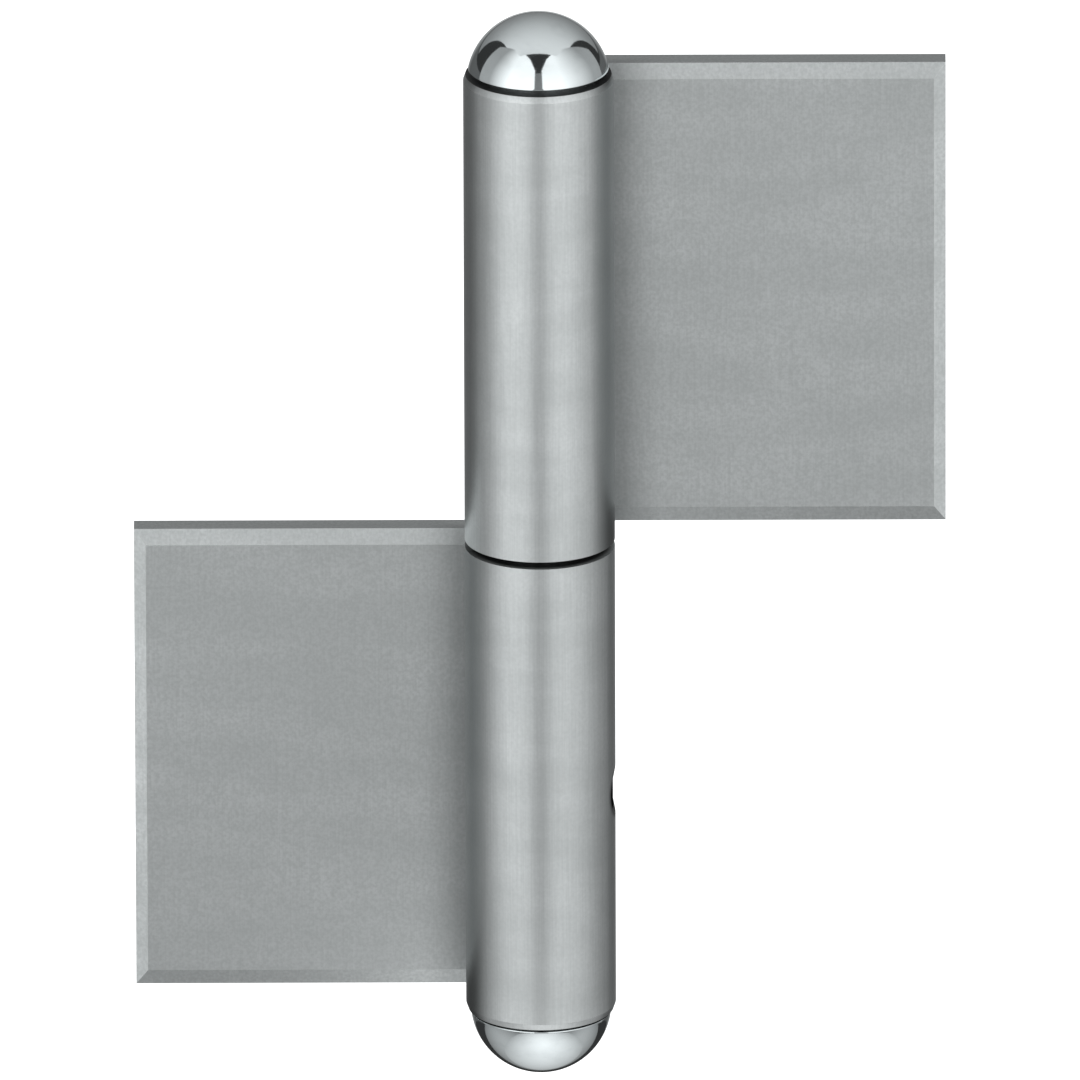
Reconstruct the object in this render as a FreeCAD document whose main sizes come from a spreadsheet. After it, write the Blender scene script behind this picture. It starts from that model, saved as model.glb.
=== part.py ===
"""Weld-on lift-off hinge: two rolled leaves, a fixed pin with a thrust ball, and domed end knobs.

Sizes are in millimetres. The origin lies on the hinge axis, halfway between the two knuckles. +Z runs up the
pin, +X points along the door leaf and +Y points to the back of both leaves.
"""
import FreeCAD, Part
import os
import Sketcher

# Driving sizes
SIZES = {
    "knuckle_diameter": 20.0,  # outside of the rolled knuckle
    "knuckle_length": 65.2,  # from the seam face to the face under the knob
    "knuckle_gap": 1.0,  # open seam between the two knuckles
    "leaf_thickness": 4.0,  # strip that each half is rolled from
    "leaf_reach": 54.0,  # from the hinge axis to the leaf's free edge
    "leaf_setback": 0.85,  # how far the leaf ends short of its knuckle's outer end
    "roll_seam": 0.25,  # slit where the curl closes on its own leaf
    "end_chamfer": 0.3,  # radial width of the chamfer on the knuckle's outer end
    "bore_lead_in": 0.6,  # chamfer in the mouth of the bore at the seam
    "edge_break": 0.2,  # broken edge around the knuckle and the leaf's back at the seam
    "end_bevel_width": 2.1,  # weld bevels on the leaf's ends, measured across the front face
    "side_bevel_width": 1.55,  # weld bevel on the leaf's far edge, measured the same way
    "bevel_depth": 0.7,  # the same bevels, measured into the leaf
    "pin_clearance": 0.05,  # radial running clearance of the pin in the bore
    "pin_chamfer": 0.6,
    "pin_groove_depth": 0.5,  # ring groove that the set screw's point sits in
    "groove_side_clearance": 0.3,
    "ball_side_clearance": 2.0,  # radial room between the ball and the bore
    "thrust_clearance": 0.05,  # above the ball, and between the ball and its seat
    "seat_rim": 2.0,  # rim left around the ball's conical seat
    "shank_length": 10.0,  # pressed length of each knob
    "shank_chamfer": 0.6,
    "knob_step": 0.65,  # how far the dome's foot stands inside the knuckle's outside
    "top_dome_height": 7.5,  # dome alone
    "bottom_dome_height": 8.5,
    "top_relief_height": 0.75,  # groove between the top dome and the knuckle
    "bottom_relief_height": 0.4,
    "relief_depth": 1.6,  # both grooves, measured in from the dome's foot
    "screw_diameter": 6.0,
    "screw_offset": 34.4,  # from the seam face of the frame knuckle to the screw's axis
    "screw_recess": 0.35,  # how far the screw's end lies below the knuckle's outside
    "screw_point_chamfer": 0.8,
    "screw_edge_chamfer": 0.4,
    "screw_clearance": 0.05,  # radial, between the screw and its hole
    "socket_across_flats": 3.0,
    "socket_depth": 2.5,
    "countersink": 0.4,  # radial width of the tapped hole's countersink
}

# Sizes of the leaves that follow from the driving ones
KNUCKLE_R = "(Sizes.knuckle_diameter / 2)"
BORE_R = f"({KNUCKLE_R} - Sizes.leaf_thickness)"
SEAM_FACE = "(Sizes.knuckle_gap / 2)"
KNUCKLE_END = f"({SEAM_FACE} + Sizes.knuckle_length)"
LEAF_END = f"({KNUCKLE_END} - Sizes.leaf_setback)"
LEAF_ROOT = f"sqrt(pow({KNUCKLE_R}; 2) - pow({BORE_R}; 2))"
CURL_END = f"({BORE_R} - Sizes.roll_seam)"
BEVEL_FLOOR = f"({BORE_R} + Sizes.bevel_depth)"
CLEAR_OF_LEAF = f"(Sizes.leaf_reach + {KNUCKLE_R})"
ABOVE_KNUCKLE = f"({KNUCKLE_END} + Sizes.leaf_thickness)"
BELOW_SEAM = f"({SEAM_FACE} - Sizes.leaf_thickness)"

# Sizes of the knobs
SHANK_END = f"({KNUCKLE_END} - Sizes.shank_length)"
KNOB_R = f"({KNUCKLE_R} - Sizes.knob_step)"
NECK_R = f"({KNOB_R} - Sizes.relief_depth)"

# Sizes of the pin, the set screw and the ball
PIN_R = f"({BORE_R} - Sizes.pin_clearance)"
SCREW_R = "(Sizes.screw_diameter / 2)"
HOLE_R = f"({SCREW_R} + Sizes.screw_clearance)"
SCREW_LEVEL = f"({SEAM_FACE} + Sizes.screw_offset)"
GROOVE_R = f"({PIN_R} - Sizes.pin_groove_depth)"
GROOVE_HALF = f"({SCREW_R} + Sizes.groove_side_clearance)"
SCREW_LENGTH = f"({KNUCKLE_R} - Sizes.screw_recess - {GROOVE_R})"
BALL_R = f"({BORE_R} - Sizes.ball_side_clearance)"
BALL_LEVEL = f"({SHANK_END} - Sizes.thrust_clearance - {BALL_R})"
SEAT_R = f"({PIN_R} - Sizes.seat_rim)"
SEAT_TIP = f"({BALL_LEVEL} - ({BALL_R} + Sizes.thrust_clearance) * sqrt(2))"
PIN_TOP = f"({SEAT_TIP} + {SEAT_R})"

# Handles of a sketch's origin and axes, and of a curve's own points
ORIGIN = (-1, 1)
H_AXIS, V_AXIS = range(-1, -3, -1)
START, END, CENTRE = range(1, 4)

FULL_TURN = 360.0
COUNTERSINK_ANGLE = 90.0
HALF_TURN = FreeCAD.Rotation(FreeCAD.Vector(0, 1, 0), 180)

doc = FreeCAD.newDocument("lift_off_hinge")
sheet = doc.addObject("Spreadsheet::Sheet", "Sizes")
for row, (alias, number) in enumerate(SIZES.items(), start=1):
    sheet.set(f"A{row}", str(number))
    sheet.setAlias(f"A{row}", alias)
doc.recompute()


def value(expression):
    """Number that an expression on the sheet gives."""
    return float(sheet.evalExpression(expression))


def new_body(label):
    """Empty body whose label names the sub-part."""
    body = doc.addObject("PartDesign::Body", label)
    body.Label = label
    return body


def new_sketch(body, name, role, lift=None):
    """Sketch on one of the body's own origin planes, moved along the plane's normal by an expression."""
    sketch = body.newObject("Sketcher::SketchObject", f"{body.Label}_{name}")
    plane = next(feature for feature in body.Origin.OriginFeatures if feature.Role == role)
    sketch.AttachmentSupport = [(plane, "")]
    sketch.MapMode = "FlatFace"
    if lift:
        sketch.setExpression("AttachmentOffset.Base.z", lift)
    return sketch


def dimension(sketch, expression, kind, *where):
    """Dimension tied to an expression on the sheet."""
    index = sketch.addConstraint(Sketcher.Constraint(kind, *where, value(expression)))
    sketch.setExpression(f"Constraints[{index}]", expression)


def tie(sketch, kind, *where):
    """Geometric constraint."""
    sketch.addConstraint(Sketcher.Constraint(kind, *where))


def place(sketch, point, x, y):
    """Places a point by its distances from the sketch's axes; None puts it on the axis itself."""
    for kind, axis, expression in (("DistanceX", V_AXIS, x), ("DistanceY", H_AXIS, y)):
        if expression is None:
            tie(sketch, "PointOnObject", *point, axis)
        else:
            dimension(sketch, expression, kind, *ORIGIN, *point)


def spot(x, y):
    """Point of a sketch, from two expressions or None."""
    return FreeCAD.Vector(value(x) if x else 0, value(y) if y else 0, 0)


def polyline(sketch, corners):
    """Run of straight sides through corners given as pairs of expressions; returns its last side."""
    first = sketch.GeometryCount
    for start, end in zip(corners, corners[1:]):
        sketch.addGeometry(Part.LineSegment(spot(*start), spot(*end)))
    last = sketch.GeometryCount - 1
    for side in range(first, last):
        tie(sketch, "Coincident", side, END, side + 1, START)
    for side, corner in enumerate(corners[:-1], start=first):
        place(sketch, (side, START), *corner)
    return last


def polygon(sketch, corners):
    """Closed outline of straight sides."""
    first = sketch.GeometryCount
    last = polyline(sketch, corners + corners[:1])
    tie(sketch, "Coincident", last, END, first, START)


def circle_arc(sketch, radius, start, end):
    """Arc about the sketch's origin, anticlockwise from one point to another."""
    whole = Part.Circle(FreeCAD.Vector(), FreeCAD.Vector(0, 0, 1), value(radius))
    arc = sketch.addGeometry(Part.ArcOfCircle(whole, whole.parameter(start), whole.parameter(end)))
    tie(sketch, "Coincident", arc, CENTRE, *ORIGIN)
    dimension(sketch, radius, "Radius", arc)
    return arc


def add(body, kind, sketch, bound=None, **settings):
    """Feature made from a sketch, with plain settings and others bound to expressions."""
    made = body.newObject(f"PartDesign::{kind}", f"{sketch.Name}_{kind.lower()}")
    made.Profile = sketch
    for name, setting in settings.items():
        setattr(made, name, setting)
    for name, expression in (bound or {}).items():
        made.setExpression(name, expression)
    doc.recompute()
    return made


def cut(body, kind, sketch, bound=None, **settings):
    """Feature that takes material away, compared with what was there."""
    before = body.Tip.Shape.Volume
    made = add(body, kind, sketch, bound, **settings)
    if not made.Shape.Volume < before:
        raise RuntimeError(f"{made.Name} takes nothing away")


def roll_section(sketch):
    """Section of the strip: a flat leaf whose end is rolled round into a knuckle, with the curl's slit."""
    leaf_reach = value("Sizes.leaf_reach")
    outer, inner, curl_end = value(KNUCKLE_R), value(BORE_R), value(CURL_END)
    back = FreeCAD.Vector(0, outer, 0)
    front = FreeCAD.Vector(0, inner, 0)
    curl_outside = FreeCAD.Vector((outer**2 - curl_end**2) ** 0.5, curl_end, 0)
    curl_inside = FreeCAD.Vector((inner**2 - curl_end**2) ** 0.5, curl_end, 0)
    free_back = FreeCAD.Vector(leaf_reach, outer, 0)
    free_front = FreeCAD.Vector(leaf_reach, inner, 0)

    back_side = sketch.addGeometry(Part.LineSegment(free_back, back))
    outside = circle_arc(sketch, KNUCKLE_R, back, curl_outside)
    curl_face = sketch.addGeometry(Part.LineSegment(curl_outside, curl_inside))
    bore = circle_arc(sketch, BORE_R, front, curl_inside)
    front_side = sketch.addGeometry(Part.LineSegment(front, free_front))
    free_edge = sketch.addGeometry(Part.LineSegment(free_front, free_back))

    tie(sketch, "Coincident", back_side, END, outside, START)
    tie(sketch, "Coincident", outside, END, curl_face, START)
    tie(sketch, "Coincident", curl_face, END, bore, END)
    tie(sketch, "Coincident", bore, START, front_side, START)
    tie(sketch, "Coincident", front_side, END, free_edge, START)
    tie(sketch, "Coincident", free_edge, END, back_side, START)
    tie(sketch, "PointOnObject", outside, START, V_AXIS)
    tie(sketch, "PointOnObject", bore, START, V_AXIS)
    for level in (back_side, curl_face, front_side):
        tie(sketch, "Horizontal", level)
    tie(sketch, "Vertical", free_edge)
    dimension(sketch, "Sizes.leaf_reach", "DistanceX", *ORIGIN, free_edge, START)
    dimension(sketch, CURL_END, "DistanceY", *ORIGIN, curl_face, START)


def turn_end(body):
    """Turns the knuckle's outer end to a chamfer and trims the leaf back to where the chamfer starts."""
    sketch = new_sketch(body, "outer_end", "XZ_Plane")
    polygon(sketch, [
        (f"{KNUCKLE_R} - Sizes.end_chamfer", KNUCKLE_END),
        (KNUCKLE_R, LEAF_END),
        (CLEAR_OF_LEAF, LEAF_END),
        (CLEAR_OF_LEAF, ABOVE_KNUCKLE),
        (f"{KNUCKLE_R} - Sizes.end_chamfer", ABOVE_KNUCKLE),
    ])
    cut(body, "Groove", sketch, ReferenceAxis=(sketch, ["V_Axis"]), Angle=FULL_TURN)


def open_bore(body):
    """Chamfers the mouth of the bore at the seam, where the pin goes in."""
    sketch = new_sketch(body, "bore_mouth", "XZ_Plane")
    polygon(sketch, [
        (None, SEAM_FACE),
        (f"{BORE_R} + Sizes.bore_lead_in", SEAM_FACE),
        (BORE_R, f"{SEAM_FACE} + Sizes.bore_lead_in"),
        (None, f"{SEAM_FACE} + Sizes.bore_lead_in"),
    ])
    cut(body, "Groove", sketch, ReferenceAxis=(sketch, ["V_Axis"]), Angle=FULL_TURN)


def bevel_leaf(body):
    """Weld bevels on the front of the leaf's three free edges, which meet in mitres."""
    side = new_sketch(body, "side_bevel", "XY_Plane", SEAM_FACE)
    polygon(side, [
        ("Sizes.leaf_reach - Sizes.side_bevel_width", BORE_R),
        ("Sizes.leaf_reach", BEVEL_FLOOR),
        (CLEAR_OF_LEAF, BEVEL_FLOOR),
        (CLEAR_OF_LEAF, BORE_R),
    ])
    cut(body, "Pocket", side, Type="ThroughAll", Reversed=True)
    ends = (
        ("outer_bevel", f"{LEAF_END} - Sizes.end_bevel_width", LEAF_END, ABOVE_KNUCKLE),
        ("seam_bevel", f"{SEAM_FACE} + Sizes.end_bevel_width", SEAM_FACE, BELOW_SEAM),
    )
    for name, inner, edge, beyond in ends:
        sketch = new_sketch(body, name, "YZ_Plane", LEAF_ROOT)
        polygon(sketch, [(BORE_R, inner), (BEVEL_FLOOR, edge), (BEVEL_FLOOR, beyond), (BORE_R, beyond)])
        cut(body, "Pocket", sketch, Type="ThroughAll", Reversed=True)


def break_edge(body):
    """Breaks the sharp edge round the knuckle at the seam, which runs on along the leaf's back."""
    radius, level = value(KNUCKLE_R), value(SEAM_FACE)
    small = value("Sizes.edge_break") / 2
    solid = body.Tip
    rims = []
    for number, edge in enumerate(solid.Shape.Edges, start=1):
        box = edge.BoundBox
        flat = abs(box.ZMin - level) < small and abs(box.ZMax - level) < small
        if flat and isinstance(edge.Curve, Part.Circle) and abs(edge.Curve.Radius - radius) < small:
            rims.append(f"Edge{number}")
    chamfer = body.newObject("PartDesign::Chamfer", f"{body.Label}_seam_edge")
    chamfer.Base = (solid, rims)
    chamfer.setExpression("Size", "Sizes.edge_break")
    doc.recompute()


def tap_hole(body):
    """Countersunk cross hole for the set screw, through the wall opposite the leaf."""
    sketch = new_sketch(body, "screw_centre", "YZ_Plane", f"-{KNUCKLE_R}")
    ring = sketch.addGeometry(Part.Circle(spot(None, SCREW_LEVEL), FreeCAD.Vector(0, 0, 1), value(SCREW_R)))
    place(sketch, (ring, CENTRE), None, SCREW_LEVEL)
    dimension(sketch, SCREW_R, "Radius", ring)
    doc.recompute()
    bound = {
        "Diameter": f"2 * {HOLE_R}",
        "Depth": KNUCKLE_R,
        "HoleCutDiameter": f"2 * ({HOLE_R} + Sizes.countersink)",
    }
    cut(
        body,
        "Hole",
        sketch,
        bound,
        Reversed=True,
        DepthType="Dimension",
        DrillPoint="Flat",
        HoleCutType="Countersink",
        HoleCutCustomValues=True,
        HoleCutCountersinkAngle=COUNTERSINK_ANGLE,
    )


def rolled_leaf(label):
    """Half of the hinge, drawn as the upper one with its leaf along +X."""
    body = new_body(label)
    section = new_sketch(body, "roll_section", "XY_Plane", SEAM_FACE)
    roll_section(section)
    add(body, "Pad", section, {"Length": "Sizes.knuckle_length"})
    turn_end(body)
    open_bore(body)
    bevel_leaf(body)
    break_edge(body)
    return body


def knob(label, relief, height):
    """Turned knob: pressed shank, relief groove and dome, standing on the knuckle's end at its own origin."""
    body = new_body(label)
    sketch = new_sketch(body, "profile", "XZ_Plane")
    dome_foot = (KNOB_R, relief)
    dome_top = (None, f"{relief} + {height}")
    shank_foot = (None, "-Sizes.shank_length")
    last = polyline(sketch, [
        shank_foot,
        (f"{BORE_R} - Sizes.shank_chamfer", "-Sizes.shank_length"),
        (BORE_R, "Sizes.shank_chamfer - Sizes.shank_length"),
        (BORE_R, None),
        (NECK_R, None),
        (NECK_R, relief),
        dome_foot,
    ])
    foot, top = spot(*dome_foot), spot(*dome_top)
    rise = value(height)
    centre = FreeCAD.Vector(0, top.y - (foot.x**2 + rise**2) / (2 * rise), 0)
    ball = Part.Circle(centre, FreeCAD.Vector(0, 0, 1), top.y - centre.y)
    dome = sketch.addGeometry(Part.ArcOfCircle(ball, ball.parameter(foot), ball.parameter(top)))
    axis = sketch.addGeometry(Part.LineSegment(top, spot(*shank_foot)))
    place(sketch, (last, END), *dome_foot)
    tie(sketch, "Coincident", last, END, dome, START)
    tie(sketch, "Coincident", dome, END, axis, START)
    tie(sketch, "Coincident", axis, END, 0, START)
    tie(sketch, "PointOnObject", dome, CENTRE, V_AXIS)
    place(sketch, (axis, START), *dome_top)
    add(body, "Revolution", sketch, ReferenceAxis=(sketch, ["V_Axis"]), Angle=FULL_TURN)
    return body


def pin(label):
    """Pin with a ring groove for the set screw and a conical seat for the ball in its upper end."""
    body = new_body(label)
    sketch = new_sketch(body, "profile", "XZ_Plane")
    polygon(sketch, [
        (None, f"-{SHANK_END}"),
        (f"{PIN_R} - Sizes.pin_chamfer", f"-{SHANK_END}"),
        (PIN_R, f"Sizes.pin_chamfer - {SHANK_END}"),
        (PIN_R, f"-{SCREW_LEVEL} - {GROOVE_HALF}"),
        (GROOVE_R, f"-{SCREW_LEVEL} - {GROOVE_HALF}"),
        (GROOVE_R, f"{GROOVE_HALF} - {SCREW_LEVEL}"),
        (PIN_R, f"{GROOVE_HALF} - {SCREW_LEVEL}"),
        (PIN_R, f"{PIN_TOP} - Sizes.pin_chamfer"),
        (f"{PIN_R} - Sizes.pin_chamfer", PIN_TOP),
        (SEAT_R, PIN_TOP),
        (None, SEAT_TIP),
    ])
    add(body, "Revolution", sketch, ReferenceAxis=(sketch, ["V_Axis"]), Angle=FULL_TURN)
    return body


def set_screw(label):
    """Set screw along +X from its point at its own origin, with a hexagon socket in its outer end."""
    body = new_body(label)
    profile = new_sketch(body, "profile", "XZ_Plane")
    polygon(profile, [
        (None, None),
        (None, f"{SCREW_R} - Sizes.screw_point_chamfer"),
        ("Sizes.screw_point_chamfer", SCREW_R),
        (f"{SCREW_LENGTH} - Sizes.screw_edge_chamfer", SCREW_R),
        (SCREW_LENGTH, f"{SCREW_R} - Sizes.screw_edge_chamfer"),
        (SCREW_LENGTH, None),
    ])
    add(body, "Revolution", profile, ReferenceAxis=(profile, ["H_Axis"]), Angle=FULL_TURN)
    socket = new_sketch(body, "socket", "YZ_Plane", SCREW_LENGTH)
    flat = "Sizes.socket_across_flats / 2"
    corner = "Sizes.socket_across_flats / sqrt(3)"
    polygon(socket, [
        (corner, None),
        (f"{corner} / 2", flat),
        (f"-{corner} / 2", flat),
        (f"-{corner}", None),
        (f"-{corner} / 2", f"-{flat}"),
        (f"{corner} / 2", f"-{flat}"),
    ])
    cut(body, "Pocket", socket, {"Length": "Sizes.socket_depth"})
    return body


def thrust_ball(label):
    """Ball on the pin's seat, just under the top knob's shank."""
    ball = doc.addObject("Part::Sphere", label)
    ball.Label = label
    ball.setExpression("Radius", BALL_R)
    ball.setExpression("Placement.Base.z", BALL_LEVEL)
    return ball


def build():
    """Makes every sub-part in its place and returns them."""
    door_leaf = rolled_leaf("door_leaf")
    frame_leaf = rolled_leaf("frame_leaf")
    tap_hole(frame_leaf)
    frame_leaf.Placement.Rotation = HALF_TURN

    top_knob = knob("top_knob", "Sizes.top_relief_height", "Sizes.top_dome_height")
    top_knob.setExpression("Placement.Base.z", KNUCKLE_END)
    bottom_knob = knob("bottom_knob", "Sizes.bottom_relief_height", "Sizes.bottom_dome_height")
    bottom_knob.Placement.Rotation = HALF_TURN
    bottom_knob.setExpression("Placement.Base.z", f"-{KNUCKLE_END}")

    hinge_pin = pin("hinge_pin")
    ball = thrust_ball("thrust_ball")
    screw = set_screw("set_screw")
    screw.setExpression("Placement.Base.x", GROOVE_R)
    screw.setExpression("Placement.Base.z", f"-{SCREW_LEVEL}")
    doc.recompute()
    return [door_leaf, frame_leaf, top_knob, bottom_knob, hinge_pin, ball, screw]


def check(parts):
    """Stops unless every object is up to date and every sub-part is one valid solid."""
    for item in doc.Objects:
        if {"Invalid", "Error"} & set(item.State):
            raise RuntimeError(f"{item.Label} failed: {item.State}")
    for part in parts:
        if part.Shape.isNull() or not part.Shape.isValid() or len(part.Shape.Solids) != 1:
            raise RuntimeError(f"{part.Label} is not one valid solid")


def write(parts):
    """Writes each sub-part under its own name."""
    os.makedirs("parts", exist_ok=True)
    for part in parts:
        part.Shape.exportStep(f"parts/{part.Label}.step")
        box = part.Shape.BoundBox
        low = f"{box.XMin:.2f} {box.YMin:.2f} {box.ZMin:.2f}"
        high = f"{box.XMax:.2f} {box.YMax:.2f} {box.ZMax:.2f}"
        print(f"{part.Label}: {part.Shape.Volume:.1f} mm3, from {low} to {high}")


hinge = build()
check(hinge)
write(hinge)
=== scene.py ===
"""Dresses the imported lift-off hinge: two rolled leaves, pin, ball, domed knobs and set screw.

Lengths are in metres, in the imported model's own frame. The origin lies on the hinge axis between the two
knuckles. +Z runs up the pin, +X along the door leaf and +Y to the back of both leaves.
"""

import logging
import math
from dataclasses import dataclass, field
from enum import Enum
from typing import Callable, Iterable, Optional, Sequence, Union

import bmesh
import bpy
from mathutils import Matrix, Vector


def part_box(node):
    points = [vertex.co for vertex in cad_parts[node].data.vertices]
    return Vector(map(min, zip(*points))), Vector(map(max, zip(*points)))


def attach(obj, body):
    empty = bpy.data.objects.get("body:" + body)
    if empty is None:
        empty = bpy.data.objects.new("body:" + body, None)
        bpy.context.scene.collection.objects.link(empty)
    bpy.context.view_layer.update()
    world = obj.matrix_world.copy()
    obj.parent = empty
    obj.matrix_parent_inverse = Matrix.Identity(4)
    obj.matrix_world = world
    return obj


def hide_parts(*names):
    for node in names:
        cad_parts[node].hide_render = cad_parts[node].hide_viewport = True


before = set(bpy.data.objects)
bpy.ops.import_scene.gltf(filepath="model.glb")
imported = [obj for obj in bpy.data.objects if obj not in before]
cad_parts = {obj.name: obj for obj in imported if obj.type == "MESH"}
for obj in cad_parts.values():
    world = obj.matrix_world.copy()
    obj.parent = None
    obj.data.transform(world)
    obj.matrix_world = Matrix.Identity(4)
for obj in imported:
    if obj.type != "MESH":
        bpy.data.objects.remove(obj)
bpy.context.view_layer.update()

MM = 0.001
FULL_TURN = 2 * math.pi
FLOAT_SLACK = 0.001 * MM
WELD_DISTANCE = 0.0005 * MM
NEAR = 0.02 * MM
BESIDE = 0.05 * MM
CREASE = math.radians(35)

log = logging.getLogger("hinge")

Colour = tuple[float, float, float]
Size = tuple[float, float, float]
Band = tuple[float, float]
Number = Union["Value", float]
Mesh = bmesh.types.BMesh
Face = bmesh.types.BMFace
Edge = bmesh.types.BMEdge
Vert = bmesh.types.BMVert
Element = Union[Vert, Edge, Face]
Socket = bpy.types.NodeSocket
Material = bpy.types.Material


class Slot(Enum):
    """Material slots of the record, by the finish that fills them."""

    SATIN = "satin_stainless"
    POLISHED = "polished_steel"
    GROUND = "ground_steel"
    SCREW = "screw_steel"


class Body(Enum):
    """Bodies of the hinge that move against each other."""

    FRAME_HALF = "frame_half"
    THRUST_BEARING = "thrust_bearing"
    DOOR_HALF = "door_half"


class Value:
    """A number that changes over a surface, so that shader maths reads as Python."""

    def __init__(self, recipe: "Recipe", socket: Socket) -> None:
        """Keeps the output socket and the recipe that owns it."""
        self.recipe = recipe
        self.socket = socket

    def __add__(self, other: Number) -> "Value":
        """Sum of two values."""
        return self.recipe.maths("ADD", self, other)

    def __sub__(self, other: Number) -> "Value":
        """Difference of two values."""
        return self.recipe.maths("SUBTRACT", self, other)

    def __rsub__(self, other: Number) -> "Value":
        """Difference from a plain number."""
        return self.recipe.maths("SUBTRACT", other, self)

    def __mul__(self, other: Number) -> "Value":
        """Product of two values."""
        return self.recipe.maths("MULTIPLY", self, other)

    def __pow__(self, power: Number) -> "Value":
        """Power of a value."""
        return self.recipe.maths("POWER", self, power)

    __radd__ = __add__
    __rmul__ = __mul__

    def between(self, low: float, high: float) -> "Value":
        """Smooth step from 0 at the low bound to 1 at the high bound.

        Args:
            low: value that gives 0.
            high: value that gives 1; a lower one than the low bound turns the step round.

        Returns:
            The stepped value.
        """
        if high < low:
            return 1.0 - self.between(high, low)
        step = self.recipe.node(
            "ShaderNodeMapRange",
            {"interpolation_type": "SMOOTHSTEP"},
            {"Value": self, "From Min": low, "From Max": high},
        )
        return Value(self.recipe, step.outputs["Result"])


@dataclass(frozen=True)
class Pattern:
    """Grain of a noise along X, Y and Z, and the band of its values over which it comes to show."""

    grain: Size
    detail: float
    low: float = 0.0
    high: float = 1.0
    octave_weight: float = 0.55

    def shown(self, noise: Value) -> Value:
        """Share of the pattern that shows, from 0 to 1."""
        return noise.between(self.low, self.high)


class Recipe:
    """Node tree of one finish."""

    def __init__(self, name: str) -> None:
        """Starts an empty material.

        Args:
            name: the material's name.
        """
        self.material = bpy.data.materials.new(name)
        self.material.use_nodes = True
        self.tree = self.material.node_tree
        self.tree.nodes.clear()
        place = self.node("ShaderNodeTexCoord")
        self.place = place.outputs["Object"]

    def node(
        self, kind: str, settings: Optional[dict] = None, inputs: Optional[dict] = None
    ) -> bpy.types.Node:
        """Adds a node.

        Args:
            kind: the node's type.
            settings: its properties, which are set first.
            inputs: values or links of its sockets, by name or number.

        Returns:
            The new node.
        """
        made = self.tree.nodes.new(kind)
        for name, setting in (settings or {}).items():
            setattr(made, name, setting)
        for name, given in (inputs or {}).items():
            socket = made.inputs[name]
            source = given.socket if isinstance(given, Value) else given
            if isinstance(source, Socket):
                self.tree.links.new(source, socket)
            else:
                socket.default_value = source
        return made

    def maths(self, operation: str, *terms: Number) -> Value:
        """Math node on values and plain numbers."""
        made = self.node("ShaderNodeMath", {"operation": operation}, dict(enumerate(terms)))
        return Value(self, made.outputs[0])

    def axis(self, name: str) -> Value:
        """Coordinate of the surface along the piece's own X, Y or Z."""
        parts = self.node("ShaderNodeSeparateXYZ", inputs={"Vector": self.place})
        return Value(self, parts.outputs[name])

    def distance(self, first: Value, second: Value) -> Value:
        """Length of the line that runs so far along two axes."""
        return (first * first + second * second) ** 0.5

    def noise(self, pattern: Pattern) -> Value:
        """Noise of a pattern's grain, from 0 to 1."""
        scale = tuple(1 / size for size in pattern.grain)
        placed = self.node("ShaderNodeMapping", inputs={"Vector": self.place, "Scale": scale})
        made = self.node(
            "ShaderNodeTexNoise",
            {"noise_dimensions": "3D"},
            {
                "Vector": placed.outputs["Vector"],
                "Scale": 1.0,
                "Detail": pattern.detail,
                "Roughness": pattern.octave_weight,
            },
        )
        return Value(self, made.outputs["Fac"])

    def mark(self, mark: "Mark") -> Value:
        """Number that the mesh carries on its faces."""
        made = self.node("ShaderNodeAttribute", {"attribute_name": mark.value})
        return Value(self, made.outputs["Fac"])

    def blend(self, first: Union[Colour, Socket], second: Colour, share: Value) -> Socket:
        """Mixes two colours.

        Args:
            first: colour where the share is 0.
            second: colour where the share is 1.
            share: how much of the second colour shows.

        Returns:
            The mixed colour.
        """
        start = first if isinstance(first, Socket) else (*first, 1.0)
        made = self.node(
            "ShaderNodeMix",
            {"data_type": "RGBA", "clamp_factor": True},
            {"Factor": share, 6: start, 7: (*second, 1.0)},
        )
        return made.outputs[2]

    def bump(self, height: Value, distance: float, strength: float) -> Socket:
        """Normal of a surface with fine relief."""
        settings = {"Height": height, "Distance": distance, "Strength": strength}
        return self.node("ShaderNodeBump", inputs=settings).outputs["Normal"]

    def surface(self, **sockets: object) -> Material:
        """Closes the tree with its shader.

        Args:
            sockets: the shader's sockets, with underscores for spaces.

        Returns:
            The finished material.
        """
        named = {name.replace("_", " "): given for name, given in sockets.items()}
        shader = self.node("ShaderNodeBsdfPrincipled", inputs=named)
        end = self.node("ShaderNodeOutputMaterial")
        self.tree.links.new(shader.outputs["BSDF"], end.inputs["Surface"])
        return self.material


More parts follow.
